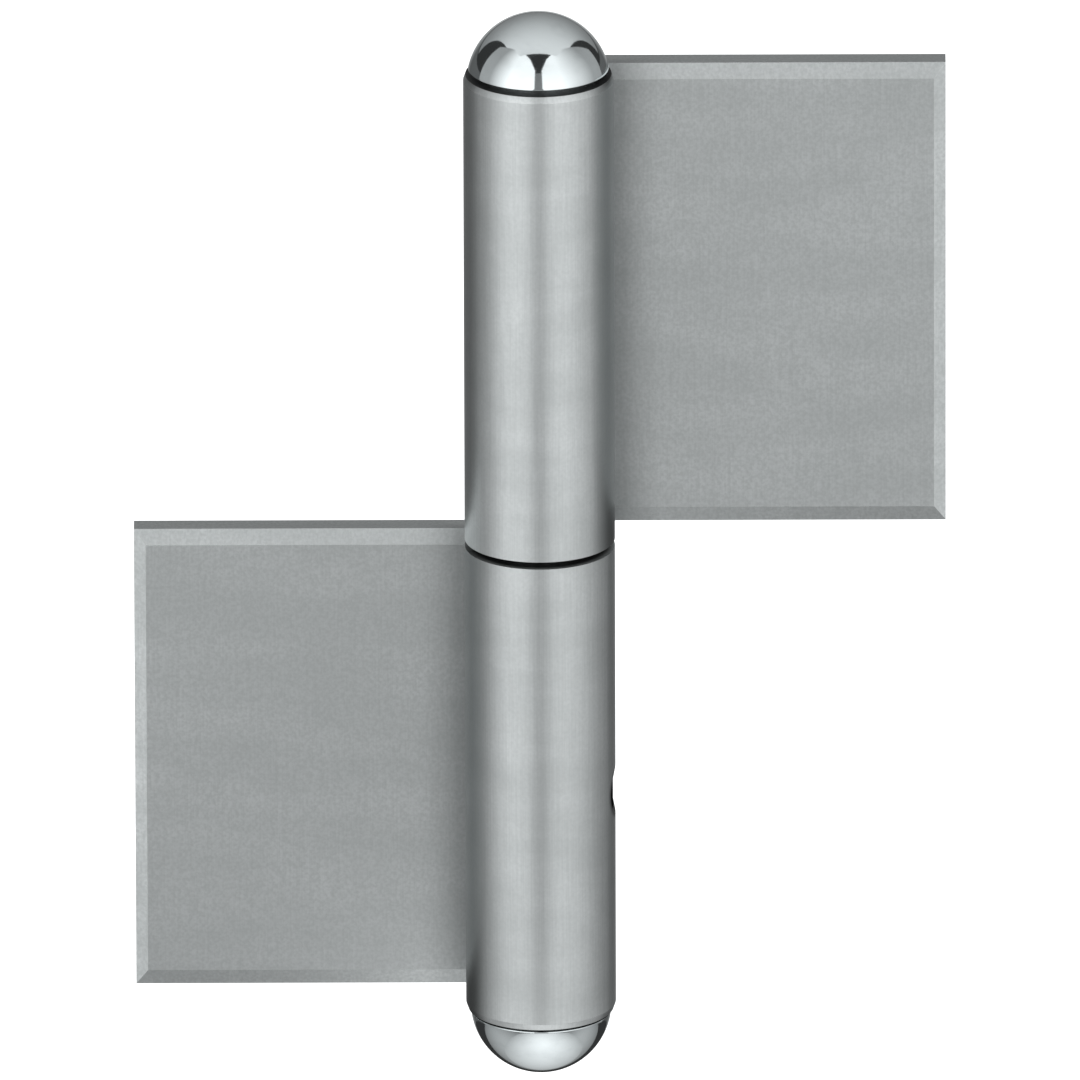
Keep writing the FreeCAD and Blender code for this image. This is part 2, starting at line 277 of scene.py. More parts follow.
@dataclass(frozen=True)
class SatinStainless:
    """Stainless strip, rolled to shape and finely ground, whose colour also carries painted shade and
    painted highlights.
    """

    steel: Colour = (0.690, 0.712, 0.716)
    cloud: Colour = (0.605, 0.627, 0.629)
    mottle: Colour = (0.440, 0.460, 0.460)
    # near-black colour of the painted shade on the hidden faces and of the darker ring round the set
    # screw's hole
    near_black: Colour = (0.020, 0.020, 0.019)
    # painted highlight on the rounded edges
    edge_highlight: Colour = (0.720, 0.735, 0.730)
    # painted highlight on the knuckles' rounded rims at the seam
    seam_lip_highlight: Colour = (0.950, 0.965, 0.965)
    # painted shade in the corner between each leaf and its knuckle
    scale: Colour = (0.190, 0.200, 0.202)
    clouding: Pattern = Pattern((22 * MM, 9 * MM, 7 * MM), 3.0, 0.30, 0.68)
    graining: Pattern = Pattern((0.45 * MM, 0.45 * MM, 0.45 * MM), 1.0, 0.20, 0.80)
    streaking: Pattern = Pattern((0.25 * MM, 0.25 * MM, 14 * MM), 3.0, 0.30, 0.80)
    grain_share: float = 0.22
    flat_grain_share: float = 0.34
    streak_share: float = 0.30
    corner_shade_share: float = 0.45
    # darkening of the ring round the set screw's hole
    hole_ring_share: float = 0.85
    edge_highlight_share: float = 0.4
    # share of painted shade on the hidden faces
    hidden_shade_share: float = 0.9
    seam_lip_highlight_share: float = 0.9
    # how much of the painted shade the seam's rims lose, as painted light
    rim_light_share: float = 0.8
    roughness: float = 0.36
    grain_roughness: float = 0.10
    cloud_roughness: float = 0.06
    edge_polish: float = 0.08
    hidden_roughness: float = 0.2
    relief: float = 0.004 * MM
    flat_depth: Band = (5.0 * MM, 6.0 * MM)
    screw_level: float = -34.9 * MM
    hole_ring_fade: Band = (4.3 * MM, 3.3 * MM)
    hole_ring_side: Band = (6 * MM, 8 * MM)
    rim_level: Band = (1.6 * MM, 1.0 * MM)
    rim_inside: Band = (8.8 * MM, 9.8 * MM)
    rim_outside: Band = (10.6 * MM, 10.2 * MM)
    corner_start: Band = (6.5 * MM, 9.5 * MM)
    corner_end: Band = (17 * MM, 9.5 * MM)
    corner_front: Band = (9 * MM, 6.5 * MM)
    corner_wall: Band = (5.5 * MM, 3 * MM)
    corner_wall_extra: float = 1.1

    def mix(self) -> Material:
        """Returns the finish as a material."""
        recipe = Recipe(Slot.SATIN.value)
        clouds = recipe.noise(self.clouding)
        grain = recipe.noise(self.graining)
        streaks = recipe.noise(self.streaking)
        edge = recipe.mark(Mark.EDGE)
        hidden = recipe.mark(Mark.HIDDEN)
        flat = recipe.axis("Y").between(*self.flat_depth)
        rim = self.lit_seam_rim(recipe)
        tone = recipe.blend(self.steel, self.cloud, self.clouding.shown(clouds))
        mottled = self.graining.shown(grain) * (self.grain_share + flat * self.flat_grain_share)
        tone = recipe.blend(tone, self.mottle, mottled)
        tone = recipe.blend(tone, self.mottle, self.streaking.shown(streaks) * self.streak_share)
        # painted shade in the corner by the knuckle
        tone = recipe.blend(tone, self.scale, self.corner(recipe) * self.corner_shade_share)
        # darker ring round the set screw's hole
        tone = recipe.blend(tone, self.near_black, self.hole_ring(recipe) * self.hole_ring_share)
        # painted highlight on the rounded edges
        tone = recipe.blend(tone, self.edge_highlight, edge * self.edge_highlight_share)
        # brighter painted highlight on the seam's rims
        tone = recipe.blend(tone, self.seam_lip_highlight, edge * rim * self.seam_lip_highlight_share)
        # painted shade on the bore, the slit and the knuckles' end faces, lifted on the seam's rims as
        # painted light
        tone = recipe.blend(tone, self.near_black, hidden * (self.hidden_shade_share - rim * self.rim_light_share))
        uneven = (grain - 0.5) * self.grain_roughness + (clouds - 0.5) * self.cloud_roughness
        return recipe.surface(
            Base_Color=tone,
            Metallic=1.0,
            Roughness=self.roughness + uneven - edge * self.edge_polish + hidden * self.hidden_roughness,
            Normal=recipe.bump(grain * 0.6 + streaks * 0.4, self.relief, 0.5),
        )

    def hole_ring(self, recipe: Recipe) -> Value:
        """Ring round the set screw's hole, which the finish darkens."""
        distance = recipe.distance(recipe.axis("Y"), recipe.axis("Z") - self.screw_level)
        return distance.between(*self.hole_ring_fade) * recipe.axis("X").between(*self.hole_ring_side)

    def lit_seam_rim(self, recipe: Recipe) -> Value:
        """Rim of a knuckle at the seam, where the finish paints a highlight and lifts the painted shade."""
        radius = recipe.distance(recipe.axis("X"), recipe.axis("Y"))
        level = recipe.maths("ABSOLUTE", recipe.axis("Z"))
        ring = radius.between(*self.rim_inside) * radius.between(*self.rim_outside)
        return level.between(*self.rim_level) * ring

    def corner(self, recipe: Recipe) -> Value:
        """Corner between a leaf and its knuckle, where the finish paints shade."""
        along_leaf = recipe.axis("X") * recipe.maths("SIGN", recipe.axis("Z"))
        beside = along_leaf.between(*self.corner_start) * along_leaf.between(*self.corner_end)
        depth = recipe.axis("Y")
        wall = depth.between(*self.corner_wall) * self.corner_wall_extra
        return beside * depth.between(*self.corner_front) * (1.0 + wall)


@dataclass(frozen=True)
class PolishedSteel:
    """Steel turned and polished to a mirror."""

    steel: Colour = (0.815, 0.865, 0.880)
    haze: Colour = (0.760, 0.808, 0.822)
    hazing: Pattern = Pattern((3 * MM, 3 * MM, 2 * MM), 4.0, 0.45, 0.75)
    turning: Pattern = Pattern((40 * MM, 40 * MM, 0.05 * MM), 2.0)
    roughness: float = 0.06
    haze_roughness: float = 0.03
    relief: float = 0.001 * MM

    def mix(self) -> Material:
        """Returns the finish as a material."""
        recipe = Recipe(Slot.POLISHED.value)
        haze = recipe.noise(self.hazing)
        rings = recipe.noise(self.turning)
        return recipe.surface(
            Base_Color=recipe.blend(self.steel, self.haze, self.hazing.shown(haze)),
            Metallic=1.0,
            Roughness=self.roughness + haze * self.haze_roughness,
            Normal=recipe.bump(rings, self.relief, 0.15),
        )


@dataclass(frozen=True)
class GroundSteel:
    """Pin steel, ground round and filmed with grease."""

    steel: Colour = (0.520, 0.530, 0.530)
    grease: Colour = (0.300, 0.285, 0.250)
    grinding: Pattern = Pattern((30 * MM, 30 * MM, 0.08 * MM), 3.0)
    filming: Pattern = Pattern((5 * MM, 5 * MM, 9 * MM), 4.0, 0.50, 0.80)
    film_share: float = 0.5
    gloss_band: Band = (0.45, 0.70)
    gloss: float = 0.4
    roughness: float = 0.24
    ring_roughness: float = 0.12
    relief: float = 0.002 * MM

    def mix(self) -> Material:
        """Returns the finish as a material."""
        recipe = Recipe(Slot.GROUND.value)
        rings = recipe.noise(self.grinding)
        film = recipe.noise(self.filming)
        return recipe.surface(
            Base_Color=recipe.blend(self.steel, self.grease, self.filming.shown(film) * self.film_share),
            Metallic=1.0,
            Roughness=self.roughness + (rings - 0.5) * self.ring_roughness,
            Coat_Weight=film.between(*self.gloss_band) * self.gloss,
            Coat_Roughness=0.15,
            Normal=recipe.bump(rings, self.relief, 0.5),
        )


@dataclass(frozen=True)
class ScrewSteel:
    """Hardened screw steel with a black oxide skin, rubbed bright on its crests and its outer end."""

    skin: Colour = (0.045, 0.045, 0.048)
    rubbed: Colour = (0.260, 0.260, 0.265)
    wearing: Pattern = Pattern((0.7 * MM, 0.7 * MM, 0.7 * MM), 4.0, 0.35, 0.65)
    skin_grain: Pattern = Pattern((0.08 * MM, 0.08 * MM, 0.08 * MM), 2.0)
    wear_share: float = 0.8
    roughness: float = 0.42
    grain_roughness: float = 0.2
    wear_polish: float = 0.12
    relief: float = 0.004 * MM

    def mix(self) -> Material:
        """Returns the finish as a material."""
        recipe = Recipe(Slot.SCREW.value)
        patches = recipe.noise(self.wearing)
        fine = recipe.noise(self.skin_grain)
        worn = recipe.mark(Mark.EDGE) * self.wearing.shown(patches) * self.wear_share
        return recipe.surface(
            Base_Color=recipe.blend(self.skin, self.rubbed, worn),
            Metallic=1.0,
            Roughness=self.roughness + (fine - 0.5) * self.grain_roughness - worn * self.wear_polish,
            Normal=recipe.bump(fine, self.relief, 0.4),
        )


@dataclass(frozen=True)
class StudioPaper:
    """Pale paper that the hinge is photographed over."""

    white: Colour = (0.86, 0.865, 0.87)

    def mix(self) -> Material:
        """Returns the finish as a material."""
        recipe = Recipe("studio_paper")
        return recipe.surface(Base_Color=(*self.white, 1.0), Roughness=0.9, Specular_IOR_Level=0.0)


FINISHES = {
    Slot.SATIN: SatinStainless(),
    Slot.POLISHED: PolishedSteel(),
    Slot.GROUND: GroundSteel(),
    Slot.SCREW: ScrewSteel(),
}


def radius_of(point: Vector) -> float:
    """Distance of a point from the hinge axis."""
    return math.hypot(point.x, point.y)


class Mark(Enum):
    """Numbers that a mesh carries on its faces for the finishes to read."""

    EDGE = "edge"
    HIDDEN = "hidden"


def blank() -> Mesh:
    """Empty mesh that can carry every mark."""
    bm = bmesh.new()
    for mark in Mark:
        bm.faces.layers.float.new(mark.value)
    return bm


def paint(bm: Mesh, mark: Mark, faces: Iterable[Face]) -> None:
    """Marks faces with 1."""
    layer = bm.faces.layers.float[mark.value]
    for face in faces:
        face[layer] = 1.0


def whole(faces: Sequence[Face]) -> list[Element]:
    """Faces together with their edges and corners, as the operators want them."""
    edges = {edge for face in faces for edge in face.edges}
    verts = {vert for face in faces for vert in face.verts}
    return [*verts, *edges, *faces]


def everything(bm: Mesh) -> list[Element]:
    """Every corner, edge and face of a mesh, as the operators want them."""
    return bm.verts[:] + bm.edges[:] + bm.faces[:]


def corners_made(made: dict) -> list[Vert]:
    """Corners among what an operator made."""
    return [item for item in made["geom"] if isinstance(item, Vert)]


def rim_made(made: dict) -> list[Edge]:
    """Open edges among what an operator made."""
    return [item for item in made["geom"] if isinstance(item, Edge) and item.is_boundary]


def close_up(bm: Mesh) -> None:
    """Merges doubled corners and turns every face outwards."""
    bmesh.ops.remove_doubles(bm, verts=bm.verts[:], dist=WELD_DISTANCE)
    bmesh.ops.recalc_face_normals(bm, faces=bm.faces[:])


def turn_over(bm: Mesh) -> None:
    """Turns a shape upside down about the Y axis."""
    bmesh.ops.rotate(bm, cent=(0, 0, 0), matrix=Matrix.Rotation(math.pi, 3, "Y"), verts=bm.verts[:])


def sharpen(bm: Mesh, angle: float = CREASE) -> None:
    """Marks every edge that turns by more than an angle as sharp, and the rest as smooth."""
    for edge in bm.edges:
        edge.smooth = edge.calc_face_angle(0.0) < angle


class Outline:
    """Half section of a turned piece, drawn in the XZ plane from the axis and back to it."""

    def __init__(self, height: float, radius: float = 0.0) -> None:
        """Starts the outline, on the axis unless a radius is given."""
        self.bm = blank()
        self.tip = self.bm.verts.new((radius, 0.0, height))
        self.rounded: list[tuple[Vert, float]] = []

    def line(self, radius: float, height: float, rounding: float = 0.0) -> "Outline":
        """Draws a straight side.

        Args:
            radius: distance of its end from the axis.
            height: height of its end.
            rounding: how far the corner at its end is rounded.

        Returns:
            The outline itself.
        """
        self.tip = bmesh.ops.extrude_vert_indiv(self.bm, verts=[self.tip])["verts"][0]
        self.tip.co = (radius, 0.0, height)
        if rounding:
            self.rounded.append((self.tip, rounding))
        return self

    def arc(self, centre: float, angle: float, steps: int) -> "Outline":
        """Draws an arc about a centre on the axis.

        Args:
            centre: height of the arc's centre.
            angle: swept angle, positive towards the axis's lower end.
            steps: straight sides along the arc.

        Returns:
            The outline itself.
        """
        made = bmesh.ops.spin(
            self.bm, geom=[self.tip], cent=(0, 0, centre), axis=(0, 1, 0), angle=angle, steps=steps
        )
        self.tip = next(item for item in made["geom_last"] if isinstance(item, Vert))
        return self

    def turned(self, segments: int) -> Mesh:
        """Turns the outline round the axis.

        Args:
            segments: flats round the piece.

        Returns:
            The closed mesh.
        """
        for corner, rounding in self.rounded:
            bmesh.ops.bevel(
                self.bm,
                geom=[corner],
                offset=rounding,
                segments=3,
                profile=0.5,
                affect="VERTICES",
                material=-1,
            )
        bmesh.ops.spin(
            self.bm,
            geom=everything(self.bm),
            axis=(0, 0, 1),
            angle=FULL_TURN,
            steps=segments,
            use_merge=True,
        )
        close_up(self.bm)
        sharpen(self.bm)
        return self.bm


@dataclass
class Piece:
    """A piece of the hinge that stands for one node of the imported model."""

    node: str
    body: Body
    slot: Slot
    low: Vector = field(init=False)
    high: Vector = field(init=False)

    def __post_init__(self) -> None:
        """Takes the piece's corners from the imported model."""
        self.low, self.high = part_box(self.node)

    def shape(self) -> Mesh:
        """Returns the piece's mesh in its place."""
        raise NotImplementedError

    def make(self, materials: dict[Slot, Material]) -> bpy.types.Object:
        """Builds the piece, dresses it and ties it to its body.

        Args:
            materials: the finishes by slot.

        Returns:
            The finished object.
        """
        bm = self.shape()
        for face in bm.faces:
            face.smooth = True
        mesh = bpy.data.meshes.new(f"{self.node}_dressed")
        bm.to_mesh(mesh)
        bm.free()
        piece = bpy.data.objects.new(f"{self.node}_dressed", mesh)
        bpy.context.scene.collection.objects.link(piece)
        weights = piece.modifiers.new("even_shading", "WEIGHTED_NORMAL")
        weights.keep_sharp = True
        mesh.materials.append(materials[self.slot])
        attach(piece, self.body.value)
        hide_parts(self.node)
        log.info("%s: %d faces, on %s", piece.name, len(mesh.polygons), self.body.value)
        return piece


@dataclass
class RolledLeaf(Piece):
    """Half of the hinge: a strip whose end is rolled round into a knuckle.

    The half is shaped as the door half, with its leaf along +X, and the frame half is then turned over.
    """

    turned_over: bool = False
    screw_level: Optional[float] = None
    screw_radius: float = 0.0
    thickness: float = 4.0 * MM
    slit: float = 0.25 * MM
    setback: float = 0.85 * MM
    end_chamfer: float = 0.3 * MM
    lead_in: float = 0.6 * MM
    end_bevel: float = 2.1 * MM
    side_bevel: float = 1.55 * MM
    bevel_depth: float = 0.7 * MM
    run_out: float = 0.3 * MM
    edge_round: float = 0.12 * MM
    countersink: float = 0.4 * MM
    screw_clearance: float = 0.05 * MM
    patch_margin: float = 1.0 * MM
    slit_margin: float = 1.5
    tangent_angle: float = math.radians(12)
    upright: float = 0.5
    segments: int = 128

    def __post_init__(self) -> None:
        """Works out the half's own levels from its packed corners."""
        super().__post_init__()
        self.outer = -self.low.y
        self.bore = self.outer - self.thickness
        self.reach = max(self.high.x, -self.low.x)
        self.seam = min(abs(self.low.z), abs(self.high.z))
        self.end = max(abs(self.low.z), abs(self.high.z))
        self.leaf_end = self.end - self.setback
        self.root = math.sqrt(self.outer**2 - self.bore**2)

    def shape(self) -> Mesh:
        """Returns the half's mesh in its place."""
        bm = blank()
        self.lay_out(bm)
        self.raise_walls(bm)
        self.bevel_leaf(bm)
        if self.screw_level is not None:
            self.drill(bm)
        close_up(bm)
        self.round_edges(bm)
        self.mark_hidden(bm)
        if self.turned_over:
            turn_over(bm)
        return bm

    def lay_out(self, bm: Mesh) -> None:
        """Lays out the strip's section at the seam: a ring with its slit, and the leaf that runs off it."""
        flat = Matrix.Translation((0, 0, self.seam))
        for radius in (self.outer, self.bore):
            bmesh.ops.create_circle(bm, segments=self.segments, radius=radius, matrix=flat)
        bmesh.ops.bridge_loops(bm, edges=bm.edges[:])
        for level in (self.bore, self.bore - self.slit):
            right = [face for face in bm.faces if face.calc_center_median().x > 0]
            self.split(bm, right, (0, level, 0), (0, 1, 0))
        middle = self.bore - self.slit / 2
        in_slit = [
            face
            for face in bm.faces
            if face.calc_center_median().x > 0
            and abs(face.calc_center_median().y - middle) < self.slit / 2
        ]
        bmesh.ops.delete(bm, geom=in_slit, context="FACES")
        arc = [
            edge
            for edge in bm.edges
            if edge.is_boundary
            and all(vert.co.x > -WELD_DISTANCE for vert in edge.verts)
            and all(vert.co.y > self.bore - WELD_DISTANCE for vert in edge.verts)
            and all(radius_of(vert.co) > self.outer - BESIDE for vert in edge.verts)
        ]
        ends = sorted({vert for edge in arc for vert in edge.verts}, key=lambda vert: vert.co.x)
        back, front = ends[0], ends[-1]
        free = bmesh.ops.extrude_vert_indiv(bm, verts=[front, back])
        for vert in free["verts"]:
            vert.co.x = self.reach
        free_edge = bm.edges.new(free["verts"])
        bmesh.ops.contextual_create(bm, geom=arc + free["edges"] + [free_edge])

    @staticmethod
    def split(bm: Mesh, faces: Sequence[Face], point: Sequence[float], normal: Sequence[float]) -> None:
        """Cuts chosen faces along a plane."""
        bmesh.ops.bisect_plane(bm, geom=whole(faces), dist=WELD_DISTANCE, plane_co=point, plane_no=normal)

    def raise_walls(self, bm: Mesh) -> None:
        """Raises the section to the leaf's end and the knuckle to its own, with both mouths of the bore."""
        top = corners_made(bmesh.ops.extrude_face_region(bm, geom=bm.faces[:], use_keep_orig=True))
        bmesh.ops.translate(bm, verts=top, vec=(0, 0, self.leaf_end - self.seam))

        ring = [
            face
            for face in bm.faces
            if all(
                abs(vert.co.z - self.leaf_end) < WELD_DISTANCE and radius_of(vert.co) < self.outer + NEAR
                for vert in face.verts
            )
        ]
        rim = corners_made(bmesh.ops.extrude_face_region(bm, geom=whole(ring)))
        bmesh.ops.translate(bm, verts=rim, vec=(0, 0, self.end - self.leaf_end))
        self.shrink(rim, self.outer, self.outer - self.end_chamfer)

        wall = [face for face in bm.faces if self.lies_on(face, self.bore)]
        self.split(bm, wall, (0, 0, self.seam + self.lead_in), (0, 0, 1))
        mouth = [vert for vert in bm.verts if abs(vert.co.z - self.seam) < WELD_DISTANCE]
        self.shrink(mouth, self.bore, self.bore + self.lead_in)

    def lies_on(self, face: Face, radius: float) -> bool:
        """Tells whether an upright face lies on a cylinder round the axis."""
        upright = abs(face.normal.z) < self.upright or face.normal.length < self.upright
        return upright and all(abs(radius_of(vert.co) - radius) < NEAR for vert in face.verts)

    @staticmethod
    def shrink(verts: Iterable[Vert], old: float, new: float) -> None:
        """Moves the vertices that stand at one radius to another."""
        for vert in verts:
            radius = radius_of(vert.co)
            if abs(radius - old) < NEAR:
                vert.co.xy *= new / radius

    def bevel_leaf(self, bm: Mesh) -> None:
        """Sinks the leaf's three free edges into weld bevels that meet in mitres."""
        lines = (
            ((self.root + self.run_out, 0, 0), (1, 0, 0)),
            ((self.reach - self.side_bevel, 0, 0), (1, 0, 0)),
            ((0, 0, self.seam + self.end_bevel), (0, 0, 1)),
            ((0, 0, self.leaf_end - self.end_bevel), (0, 0, 1)),
        )
        for point, normal in lines:
            self.split(bm, self.front_faces(bm), point, normal)
        inner_side = self.reach - self.side_bevel
        corners = {}
        for face in self.front_faces(bm):
            for vert in face.verts:
                out = vert.co.x > inner_side + WELD_DISTANCE
                low = vert.co.z < self.seam + self.end_bevel - WELD_DISTANCE
                high = vert.co.z > self.leaf_end - self.end_bevel + WELD_DISTANCE
                if out or (vert.co.x > self.root + self.run_out / 2 and (low or high)):
                    corners[vert] = out and (low or high)
        for vert, is_corner in corners.items():
            if is_corner:
                face = next(item for item in self.front_faces(bm) if vert in item.verts)
                opposite = min(face.verts, key=lambda other: other.co.x + abs(self.bevel_gap(other)))
                bmesh.ops.connect_vert_pair(bm, verts=[vert, opposite])
        for vert in corners:
            vert.co.y += self.bevel_depth

    def bevel_gap(self, vert: Vert) -> float:
        """Distance of a vertex from the nearer inner line of the end bevels."""
        lines = (self.seam + self.end_bevel, self.leaf_end - self.end_bevel)
        return min(abs(vert.co.z - line) for line in lines)

    def front_faces(self, bm: Mesh) -> list[Face]:
        """Faces of the leaf's flat front, outside the knuckle."""
        return [
            face
            for face in bm.faces
            if all(
                abs(vert.co.y - self.bore) < WELD_DISTANCE and vert.co.x > self.root - BESIDE
                for vert in face.verts
            )
        ]

    def drill(self, bm: Mesh) -> None:
        """Drills and countersinks the set screw's cross hole through the wall opposite the leaf."""
        hole = self.screw_radius + self.screw_clearance
        mouth = self.open_patch(bm, self.outer, hole + self.countersink)
        throat = self.open_patch(bm, self.bore, hole)
        made = bmesh.ops.extrude_edge_only(bm, edges=mouth)
        centre = Vector((0, 0, self.screw_level))
        for vert in corners_made(made):
            across = Vector((0, vert.co.y, vert.co.z - centre.z))
            vert.co.yz = (centre + across * (hole / across.length)).yz
            vert.co.x += self.countersink
        bmesh.ops.bridge_loops(bm, edges=rim_made(made) + throat)

    def open_patch(self, bm: Mesh, radius: float, hole: float) -> list[Edge]:
        """Opens a round hole in one wall of the knuckle.

        Args:
            bm: the half's mesh.
            radius: radius of the wall.
            hole: radius of the hole.

        Returns:
            The edges of the hole's rim.
        """
        half = hole + self.patch_margin
        flat = FULL_TURN / self.segments
        steps = math.ceil(math.asin(half / radius) / flat)
        limit = (steps + 0.1) * flat

        def near(face: Face) -> bool:
            """Tells whether a face of the wall is within the patch's angle."""
            return all(abs(math.pi - abs(math.atan2(vert.co.y, vert.co.x))) < limit for vert in face.verts)

        for level in (self.screw_level - half, self.screw_level + half):
            wall = [face for face in bm.faces if self.lies_on(face, radius) and near(face)]
            self.split(bm, wall, (0, 0, level), (0, 0, 1))
        patch = [
            face
            for face in bm.faces
            if self.lies_on(face, radius)
            and near(face)
            and abs(face.calc_center_median().z - self.screw_level) < half
        ]
        open_before = {edge for edge in bm.edges if edge.is_boundary}
        bmesh.ops.delete(bm, geom=patch, context="FACES")
        border = [edge for edge in bm.edges if edge.is_boundary and edge not in open_before]
        uprights = [edge for edge in border if abs(edge.verts[0].co.z - edge.verts[1].co.z) > half]
        bmesh.ops.subdivide_edges(bm, edges=uprights, cuts=steps - 1)
        border = [edge for edge in bm.edges if edge.is_boundary and edge not in open_before]

        place = Matrix.Translation((0, 0, self.screw_level)) @ Matrix.Rotation(math.pi / 2, 4, "Y")
        ring = bmesh.ops.create_circle(bm, segments=len(border), radius=hole, matrix=place)["verts"]
        for vert in ring:
            vert.co.x = -math.sqrt(radius**2 - vert.co.y**2)
        rim = list({edge for vert in ring for edge in vert.link_edges})
        made = bmesh.ops.bridge_loops(bm, edges=border + rim)
        finer = bmesh.ops.subdivide_edges(bm, edges=made["edges"], cuts=2, use_grid_fill=True)
        for item in finer["geom_inner"]:
            if isinstance(item, Vert):
                item.co.xy *= radius / radius_of(item.co)
        return [edge for edge in rim if edge.is_valid]

    def round_edges(self, bm: Mesh) -> None:
        """Rounds the edges that a hand meets, and leaves those of the slit and the hole crisp."""
        outside = []
        for edge in bm.edges:
            middle = (edge.verts[0].co + edge.verts[1].co) / 2
            on_leaf = middle.x > self.root + self.run_out
            at_rim = radius_of(middle) > self.outer - self.end_chamfer - BESIDE and self.at_an_end(middle)
            level = abs(edge.verts[0].co.z - edge.verts[1].co.z) < WELD_DISTANCE
            on_rim = at_rim and level and self.clear_of_slit(middle)
            if edge.calc_face_angle(0.0) > self.tangent_angle and (on_leaf or on_rim):
                outside.append(edge)
        made = bmesh.ops.bevel(
            bm,
            geom=outside,
            offset=self.edge_round,
            segments=2,
            profile=0.5,
            affect="EDGES",
            clamp_overlap=True,
            material=-1,
        )
        # the satin finish paints a highlight on these rounded faces
        paint(bm, Mark.EDGE, made["faces"])
        sharpen(bm)

    def clear_of_slit(self, point: Vector) -> bool:
        """Tells whether a point stands clear of the slit and the leaf's root."""
        return point.x < 0 or point.y < self.bore - self.slit_margin * self.slit

    def at_an_end(self, point: Vector) -> bool:
        """Tells whether a point lies at one of the knuckle's turned ends."""
        return min(abs(point.z - level) for level in (self.seam, self.leaf_end, self.end)) < NEAR

    def mark_hidden(self, bm: Mesh) -> None:
        """Marks the bore, the slit and the knuckle's two end faces, which the satin finish darkens as
        painted shade.
        """
        hidden = []
        for face in bm.faces:
            centre = face.calc_center_median()
            inside = radius_of(centre) < self.outer - self.end_chamfer
            in_slit = centre.x > 0 and abs(centre.y - self.bore) < self.slit_margin * self.slit
            if centre.x < self.root and (inside or in_slit):
                hidden.append(face)
        paint(bm, Mark.HIDDEN, hidden)


@dataclass
class DomedKnob(Piece):
    """Turned knob: a pressed shank, a relief groove and a polished dome."""

    upside_down: bool = False
    shank: float = 6.0 * MM
    shank_length: float = 10.0 * MM
    shank_chamfer: float = 0.6 * MM
    relief_height: float = 0.75 * MM
    relief_depth: float = 1.6 * MM
    foot_round: float = 0.12 * MM
    segments: int = 160
    dome_steps: int = 48

    def shape(self) -> Mesh:
        """Returns the knob's mesh in its place."""
        foot = self.high.x
        apex = max(abs(self.low.z), abs(self.high.z)) - FLOAT_SLACK
        shank_end = min(abs(self.low.z), abs(self.high.z))
        seat = shank_end + self.shank_length
        dome_foot = seat + self.relief_height
        rise = apex - dome_foot
        ball = (foot**2 + rise**2) / (2 * rise)
        centre = apex - ball
        neck = foot - self.relief_depth
        sweep = math.atan2(foot, dome_foot - centre)
        outline = Outline(shank_end)
        outline.line(self.shank - self.shank_chamfer, shank_end, self.foot_round)
        outline.line(self.shank, shank_end + self.shank_chamfer, self.foot_round)
        outline.line(self.shank, seat).line(neck, seat).line(neck, dome_foot)
        outline.line(foot, dome_foot, self.foot_round)
        outline.arc(centre, -sweep, self.dome_steps)
        bm = outline.turned(self.segments)
        if self.upside_down:
            turn_over(bm)
        return bm


@dataclass
class HingePin(Piece):
    """Ground pin with a ring groove for the set screw and a conical seat for the ball."""

    screw_level: float = 0.0
    screw_radius: float = 0.0
    chamfer: float = 0.6 * MM
    groove_depth: float = 0.5 * MM
    groove_clearance: float = 0.3 * MM
    seat_rim: float = 2.0 * MM
    edge_round: float = 0.15 * MM
    segments: int = 96

    def shape(self) -> Mesh:
        """Returns the pin's mesh in its place."""
        radius = self.high.x
        groove = radius - self.groove_depth
        half = self.screw_radius + self.groove_clearance
        seat = radius - self.seat_rim
        corners = (
            (radius - self.chamfer, self.low.z),
            (radius, self.low.z + self.chamfer),
            (radius, self.screw_level - half),
            (groove, self.screw_level - half),
            (groove, self.screw_level + half),
            (radius, self.screw_level + half),
            (radius, self.high.z - self.chamfer),
            (radius - self.chamfer, self.high.z),
            (seat, self.high.z),
        )
        outline = Outline(self.low.z)
        for reach, level in corners:
            outline.line(reach, level, self.edge_round)
        outline.line(0.0, self.high.z - seat)
        return outline.turned(self.segments)


@dataclass
class ThrustBall(Piece):
    """Bearing ball on the pin's end."""

    segments: int = 64
    steps: int = 32

    def shape(self) -> Mesh:
        """Returns the ball's mesh in its place."""
        centre = (self.low.z + self.high.z) / 2
        outline = Outline(self.low.z)
        outline.arc(centre, -math.pi, self.steps)
        return outline.turned(self.segments)


